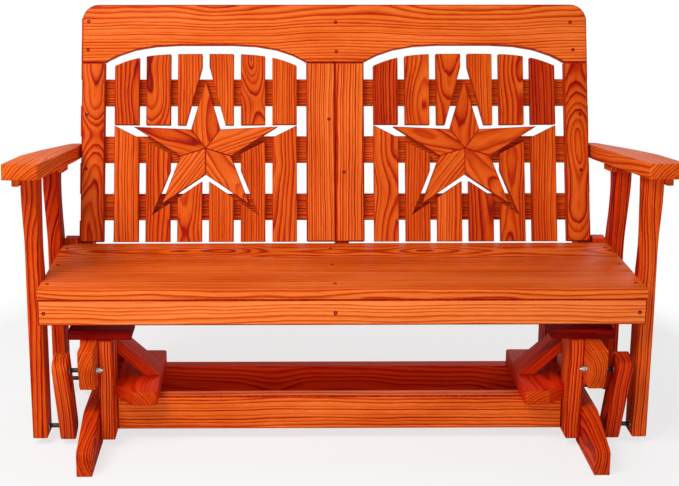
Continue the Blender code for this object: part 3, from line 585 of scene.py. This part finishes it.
# ------------------------------------------------------------------ timber of the other boards
for name, tone, figure in (("seat_slat_1", 0.21, "straight"), ("seat_slat_2", 0.29, "straight"),
                           ("seat_slat_3", 0.27, "flat")):
    dress(name, EAST, UP, tone=tone, figure=figure, ring=0.009, contrast=0.65)
dress("apron", EAST, -NORTH, tone=0.12, figure="straight", ring=0.0105, contrast=0.58)
dress("top_rail", EAST, FRONT, tone=0.25, figure="straight", ring=0.0078, contrast=0.6)
dress("front_stretcher", EAST, -NORTH, tone=0.28, ring=0.0095, figure="straight", contrast=0.65)
# Painted shade: the red amounts below redden boards that sit in shade under the seat and behind the
# apron
dress("rear_stretcher", EAST, -NORTH, tone=0.3, ring=0.009, figure="flat", contrast=0.5, red=0.8)
dress("centre_rail", NORTH, EAST, tone=0.5, red=0.7)
dress("centre_upright", SLOPE, EAST, tone=0.35)
for side, s in SIDES:
    out = EAST * s
    dress(f"{side}_foot", NORTH, out, tone=0.47, figure="edged", contrast=0.6, red=0.4)
    dress(f"{side}_head_rail", NORTH, out, tone=0.3, figure="edged", ring=0.006,
          contrast=0.6, red=0.3)
    dress(f"{side}_side_rail", NORTH, out, tone=0.45, red=0.8)
    # Painted shade: the caps' deep tone stands for the apron's shadow on them, and the rear posts
    # and legs are toned deeper than the front ones for the shade under the seat
    for end, post_tone, post_red, leg_tone, leg_red in (("front", 0.33, 0.3, 0.35, 0.2),
                                                        ("rear", 0.5, 0.6, 0.52, 0.5)):
        dress(f"{side}_{end}_post", UP, out, tone=post_tone, figure="edged", ring=0.0078,
              contrast=0.95, red=post_red)
        dress(f"{side}_{end}_cap", EAST, UP, tone=0.9, red=0.85)
        dress(f"{side}_{end}_leg", UP, out, tone=leg_tone, figure="edged" if s > 0 else "rift",
              ring=0.0085, contrast=0.7, red=leg_red)
    dress(f"{side}_plate", NORTH, UP, tone=0.4, contrast=0.35, red=0.8)
    dress(f"{side}_strut", out * cos(STRUT_SLOPE) + UP * sin(STRUT_SLOPE), NORTH, tone=0.42,
          figure="straight", ring=0.0055, contrast=0.6, red=0.75)
    dress(f"{side}_arm", NORTH * cos(ARM_SLOPE) - UP * sin(ARM_SLOPE), UP, tone=0.25,
          figure="rift", contrast=0.55)
    dress(f"{side}_stile", SLOPE, FRONT, tone=0.42, figure="wild", ring=0.0085, contrast=0.6)
    dress(f"{side}_centre_stile", SLOPE, FRONT, tone=0.24, figure="straight",
          ring=0.006 if s < 0 else 0.0075, contrast=0.85)
    dress(f"{side}_upright", SLOPE, out, tone=0.35)
    for end, lean in (("front", -1), ("rear", 1)):
        along = UP * cos(LINK_LEAN) + NORTH * lean * sin(LINK_LEAN)
        dress(f"{end}_{side}_link", along, out, tone=0.38 if s < 0 else 0.48, figure="edged",
              ring=0.0085, contrast=0.75, red=0.25 if s < 0 else 0.55)


def soften(node, body, width=BOARD_ARRIS):
    """Puts a copy with rounded, darkened arrises in the place of a board."""
    board = nodes[node]
    shape = bmesh.new()
    shape.from_mesh(board.data)
    shape.transform(board.matrix_world)
    bmesh.ops.remove_doubles(shape, verts=shape.verts, dist=MERGE)
    bmesh.ops.dissolve_limit(shape, angle_limit=FLAT, verts=shape.verts, edges=shape.edges)
    for face in shape.faces:
        face.material_index = 0
    ease(shape, width, dark=True)
    for face in shape.faces:
        face.smooth = True
    for edge in shape.edges:
        edge.smooth = edge.is_manifold and edge.calc_face_angle() < CREASE
    eased = piece(node + "_board", shape, board.data.materials[0], body)
    eased.data.materials.append(ARRIS)
    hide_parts(node)


for name in ("seat_slat_1", "seat_slat_2", "seat_slat_3"):
    soften(name, "seat", SEAT_ARRIS)
for name in ("apron", "top_rail"):
    soften(name, "seat", FACE_ARRIS)
soften("front_stretcher", "base")
for side, _ in SIDES:
    for name in ("stile", "centre_stile", "arm", "front_leg", "rear_leg"):
        soften(f"{side}_{name}", "seat")
    for name in ("foot", "head_rail", "strut", "plate", "front_post", "rear_post"):
        soften(f"{side}_{name}", "base")
    for end in ("front", "rear"):
        soften(f"{end}_{side}_link", f"{end}_{side}_link")


# ------------------------------------------------------------------ hardware
PLATING = zinc("bolt_zinc")
SLEEVE = zinc("spacer_black", 0.08)
SCREW = browned("screw_brown")
# Painted shade: the dark ring round each screw head
SCREW_HOLE_SHADE = pine("screw_hole_pine", (0, 0, 0), EAST, UP, tone=0.85, contrast=0.1)


def turned(profile, sides=32):
    """A ring or button turned about Z from a closed run of (radius, height)."""
    shape = bmesh.new()
    ring = [shape.verts.new((radius, 0, height)) for radius, height in profile]
    edges = [shape.edges.new(pair) for pair in zip(ring, ring[1:] + ring[:1])]
    bmesh.ops.spin(shape, geom=ring + edges, cent=(0, 0, 0), axis=(0, 0, 1), angle=tau,
                   steps=sides, use_merge=True, use_duplicate=False)
    bmesh.ops.remove_doubles(shape, verts=shape.verts, dist=MERGE)
    bmesh.ops.recalc_face_normals(shape, faces=shape.faces)
    return shape


def place_into(whole, part, place, material=0, smooth=True):
    """Adds a shape to a bmesh of several, at its place."""
    part.transform(place)
    for face in part.faces:
        face.material_index = material
        face.smooth = smooth
    mesh = bpy.data.meshes.new("part")
    part.to_mesh(mesh)
    part.free()
    whole.from_mesh(mesh)
    bpy.data.meshes.remove(mesh)


def washer(radius, bore, thick):
    """A ring with chamfered rims; a long one is a sleeve."""
    rim = WASHER_RIM
    return turned([(bore, 0), (bore, thick), (radius - rim, thick), (radius, thick - rim),
                   (radius, rim), (radius - rim, 0)])


def hex_nut(across, high):
    """A hexagon nut with eased corners."""
    shape = bmesh.new()
    corner = across / 3 ** 0.5
    bmesh.ops.create_cone(shape, cap_ends=True, segments=6, radius1=corner, radius2=corner,
                          depth=high, matrix=Matrix.Translation((0, 0, high / 2)))
    ease(shape, NUT_ARRIS)
    return shape


def thread(radius, low, high):
    """A bolt's end: a core with thread ridges and a chamfered tip."""
    pitch, core, tip = THREAD_PITCH, radius * 0.84, radius * 0.7
    count = int((high - low - 0.001) / pitch)
    profile = [(0.0, low)]
    for k in range(count):
        profile += [(core, low + k * pitch), (radius, low + (k + 0.5) * pitch)]
    profile += [(core, low + count * pitch), (tip, high), (0.0, high)]
    return turned(profile, 20)


def carriage_head(radius, high):
    """A low dome over a thin rim."""
    steps = 7
    turns = [pi / 2 * k / steps for k in range(steps + 1)]
    dome = [(radius * sin(turn), high * cos(turn) * 0.86 + high * 0.14) for turn in turns]
    return turned([(0.0, 0.0)] + dome + [(radius * 0.97, 0.0)])


for side, s in SIDES:
    for end in ("front", "rear"):
        for kind in ("hanger", "leg"):
            name = f"{end}_{side}_{kind}_bolt"
            spot = centre_of(name)
            to_side = (Matrix.Translation((0, spot.y, spot.z))
                       @ Matrix.Rotation(s * pi / 2, 4, "Y"))
            whole = bmesh.new()
            if kind == "hanger":
                outside = LINK_OUTSIDE + GAP
                near, far = FRAME_OUTSIDE + GAP, LINK_INSIDE - GAP
                inside = FRAME_INSIDE - GAP
                place_into(whole, washer(HEAD_RADIUS, BOLT_RADIUS, WASHER_THICK),
                           to_side @ Matrix.Translation((0, 0, inside - WASHER_THICK)))
                place_into(whole, hex_nut(NUT_ACROSS, NUT_HEIGHT),
                           to_side @ Matrix.Translation((0, 0, inside - NUT_BACK)), smooth=False)
                end_of_bolt = thread(BOLT_RADIUS, THREAD_START - FRAME_INSIDE,
                                     THREAD_END - FRAME_INSIDE)
                place_into(whole, end_of_bolt, to_side @ Matrix.Rotation(pi, 4, "X"))
            else:
                outside = LEG_OUTSIDE + 2 * GAP
                near, far = LINK_OUTSIDE + GAP, LEG_INSIDE - GAP
            place_into(whole, carriage_head(HEAD_RADIUS, HEAD_HEIGHTS[kind]),
                       to_side @ Matrix.Translation((0, 0, outside)))
            place_into(whole, washer(SLEEVE_RADIUS, BOLT_RADIUS, far - near),
                       to_side @ Matrix.Translation((0, 0, near)), material=1)
            for edge in (near, far - FLANGE_THICK):
                place_into(whole, washer(FLANGE_RADIUS, BOLT_RADIUS * 1.2, FLANGE_THICK),
                           to_side @ Matrix.Translation((0, 0, edge)))
            obj = piece(name + "_steel", whole, PLATING, "base" if kind == "hanger" else "seat")
            obj.data.materials.append(SLEEVE)
            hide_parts(name)


def screw_head():
    """A flat head with a cross recess."""
    shape = bmesh.new()
    rim = bmesh.ops.create_circle(shape, segments=16, radius=SCREW_RADIUS)["verts"]
    arm, wide = SCREW_RADIUS * 0.6, SCREW_RADIUS * 0.17
    cross = [(wide, arm), (wide, wide), (arm, wide), (arm, -wide), (wide, -wide), (wide, -arm),
             (-wide, -arm), (-wide, -wide), (-arm, -wide), (-arm, wide), (-wide, wide),
             (-wide, arm)]
    inner = [shape.verts.new((x, y, 0)) for x, y in cross]
    slot = [shape.edges.new(pair) for pair in zip(inner, inner[1:] + inner[:1])]
    bmesh.ops.triangle_fill(shape, use_beauty=True, edges=shape.edges[:])
    down = bmesh.ops.extrude_edge_only(shape, edges=slot)["geom"]
    floor = [v for v in down if isinstance(v, bmesh.types.BMVert)]
    bmesh.ops.translate(shape, verts=floor, vec=(0, 0, -SCREW_DEPTH))
    bmesh.ops.contextual_create(shape, geom=[e for e in down if isinstance(e, bmesh.types.BMEdge)
                                             and all(v in floor for v in e.verts)])
    skirt = bmesh.ops.extrude_edge_only(
        shape, edges=[e for e in shape.edges if all(v in rim for v in e.verts)])["geom"]
    bottom = [v for v in skirt if isinstance(v, bmesh.types.BMVert)]
    bmesh.ops.translate(shape, verts=bottom, vec=(0, 0, -SCREW_DEPTH))
    bmesh.ops.contextual_create(shape, geom=bottom)
    bmesh.ops.recalc_face_normals(shape, faces=shape.faces)
    return shape


def screws(name, spots, body="seat"):
    """Screw heads, each with a dark ring of painted shade for its hole, at (place, outward
    direction) pairs.
    """
    whole = bmesh.new()
    own = Random(name)
    for spot, out in spots:
        at = Matrix.Translation(spot) @ out.to_track_quat("Z", "Y").to_matrix().to_4x4()
        at = at @ Matrix.Rotation(own.uniform(0, tau), 4, "Z")
        place_into(whole, screw_head(), at @ Matrix.Translation((0, 0, 0.0003)), smooth=False)
        place_into(whole, washer(SHADE_RING_RADIUS, SHADE_RING_BORE, SHADE_RING_THICK),
                   at @ Matrix.Translation((0, 0, -0.0002)), material=1)
    obj = piece(name, whole, SCREW, body)
    obj.data.materials.append(SCREW_HOLE_SHADE)


def on_back(x, up, depth=0.0):
    """From inches beside the back's middle, up its slope and behind its front face."""
    return BACK @ Vector((x * IN, up * IN, -depth * IN))


def seat_point(x, y, z):
    """From inches beside the middle, behind the apron's front and above the floor."""
    return Vector((x * IN, y * IN - CENTRE_Y, z * IN))


# Places on the back as (beside, up), on the base's sides as (behind, above the floor)
TOP_RAIL_SCREWS = ((-27.45, 24.55), (-27.5, 21.4), (0.08, 24.45), (0.15, 21.15),
                   (26.35, 24.45), (26.6, 21.35))
STILE_SCREWS = ((-27.6, 8.1), (-27.6, 14.1), (27.25, 7.9), (27.25, 14.1), (-0.7, 13.6),
                (0.95, 7.7))
BASE_SCREWS = ((2.5, 2.2), (4.2, 3.5), (13.7, 2.2), (15.4, 3.5), (2.5, 10.8), (4.2, 7.4),
               (13.7, 10.8), (15.4, 7.4))
# Two to a slat and rail, from the slat's middle and the rail's foot
RAIL_SCREWS = ((-0.6, 0.8), (0.6, 2.1))
RAIL_BACK = (2 * DECK + GAP) / IN

screws("apron_screws", [(seat_point(x, 0, 15.1), -NORTH) for x in (-29.3, -0.7, 29.2)])
screws("slat_screws", [(seat_point(x, y, 17.5), UP) for x in (-29.2, -0.7, 29.2)
                       for y in (1.9, 8.0, 13.7)])
screws("top_rail_screws", [(on_back(x, up), FRONT) for x, up in TOP_RAIL_SCREWS])
screws("stile_screws", [(on_back(x, up), FRONT) for x, up in STILE_SCREWS])
screws("rail_screws", [
    (on_back(slat_middle(s, i) / IN + beside, foot / IN + up, RAIL_BACK), -FRONT)
    for _, s in SIDES for i in range(SLATS) for foot in RAIL_FEET for beside, up in RAIL_SCREWS])
for side, s in SIDES:
    spots = [(seat_point(s * FRAME_OUTSIDE / IN, y, z), EAST * s) for y, z in BASE_SCREWS]
    screws(f"{side}_frame_screws", spots, "base")


# ------------------------------------------------------------------ studio
def floor():
    """A matt floor that the camera sees turn white away from the glider."""
    shape = bmesh.new()
    bmesh.ops.create_grid(shape, x_segments=1, y_segments=1, size=FLOOR_HALF)
    ground = mesh_object("floor", shape)
    material = bpy.data.materials.new("floor")
    material.use_nodes = True
    tree = material.node_tree
    tree.nodes.clear()
    w = Wiring(tree)
    matt = w.add("BsdfDiffuse", None, Color=(0.86, 0.86, 0.86, 1))
    clear = w.add("Emission", None, Color=(1, 1, 1, 1), Strength=1.0)
    reach = w.add("VectorMath", {"operation": "LENGTH"})
    w.feed(reach.inputs[0], w.add("TexCoord").outputs["Object"])
    far = w.add("MapRange", {"interpolation_type": "SMOOTHSTEP"}, Value=reach.outputs["Value"],
                From_Min=FLOOR_FADE[0], From_Max=FLOOR_FADE[1])
    seen = w.add("LightPath").outputs["Is Camera Ray"]
    shown = w.add("MixShader")
    glow = w.math("MAXIMUM", far.outputs[0], FLOOR_GLOW)
    w.feed(shown.inputs[0], w.math("MULTIPLY", glow, seen))
    w.feed(shown.inputs[1], matt.outputs[0])
    w.feed(shown.inputs[2], clear.outputs[0])
    end = w.add("OutputMaterial")
    w.feed(end.inputs["Surface"], shown.outputs[0])
    ground.data.materials.append(material)


def sky():
    """White to the camera and in reflections, dimmer as a light."""
    world = bpy.data.worlds.new("studio")
    bpy.context.scene.world = world
    world.use_nodes = True
    tree = world.node_tree
    tree.nodes.clear()
    w = Wiring(tree)
    path = w.add("LightPath").outputs
    direct = w.math("MAXIMUM", path["Is Camera Ray"],
                    w.math("MAXIMUM", path["Is Glossy Ray"], path["Is Transmission Ray"]))
    strength = w.math("ADD", w.math("MULTIPLY", direct, 1.0 - AMBIENT), AMBIENT)
    white = w.add("Background", None, Color=(1, 1, 1, 1), Strength=strength)
    end = w.add("OutputWorld")
    w.feed(end.inputs["Surface"], white.outputs[0])


def lamp(name, place, target, size, power):
    light = bpy.data.lights.new(name, "AREA")
    light.shape = "RECTANGLE"
    light.size, light.size_y = size
    light.energy = power
    obj = new_object(name, light)
    obj.location = place
    obj.rotation_euler = (Vector(target) - Vector(place)).to_track_quat("-Z", "Y").to_euler()


floor()
sky()
lamp("key", (-1.75, -2.1, 3.3), (-0.1, 0, 0.5), (2.0, 1.2), 106)
lamp("fill", (0.2, -4.6, 1.0), (0, 0, 0.4), (2.4, 1.4), 45)
lamp("back", (1.4, 4.2, 2.6), (0, 0, 0.5), (2.6, 1.6), 42)

camera = bpy.data.cameras.new("camera")
camera.sensor_width = SENSOR
camera.lens = SENSOR * FOCAL_LENGTH / PHOTO_WIDTH
camera.shift_x = 0.0727
camera.shift_y = -0.15
viewer = new_object("camera", camera)
viewer.location = EYE
viewer.rotation_euler = (pi / 2 - 0.2119, -0.0003, -0.0077)
bpy.context.scene.camera = viewer
bpy.context.scene.view_settings.view_transform = "Standard"
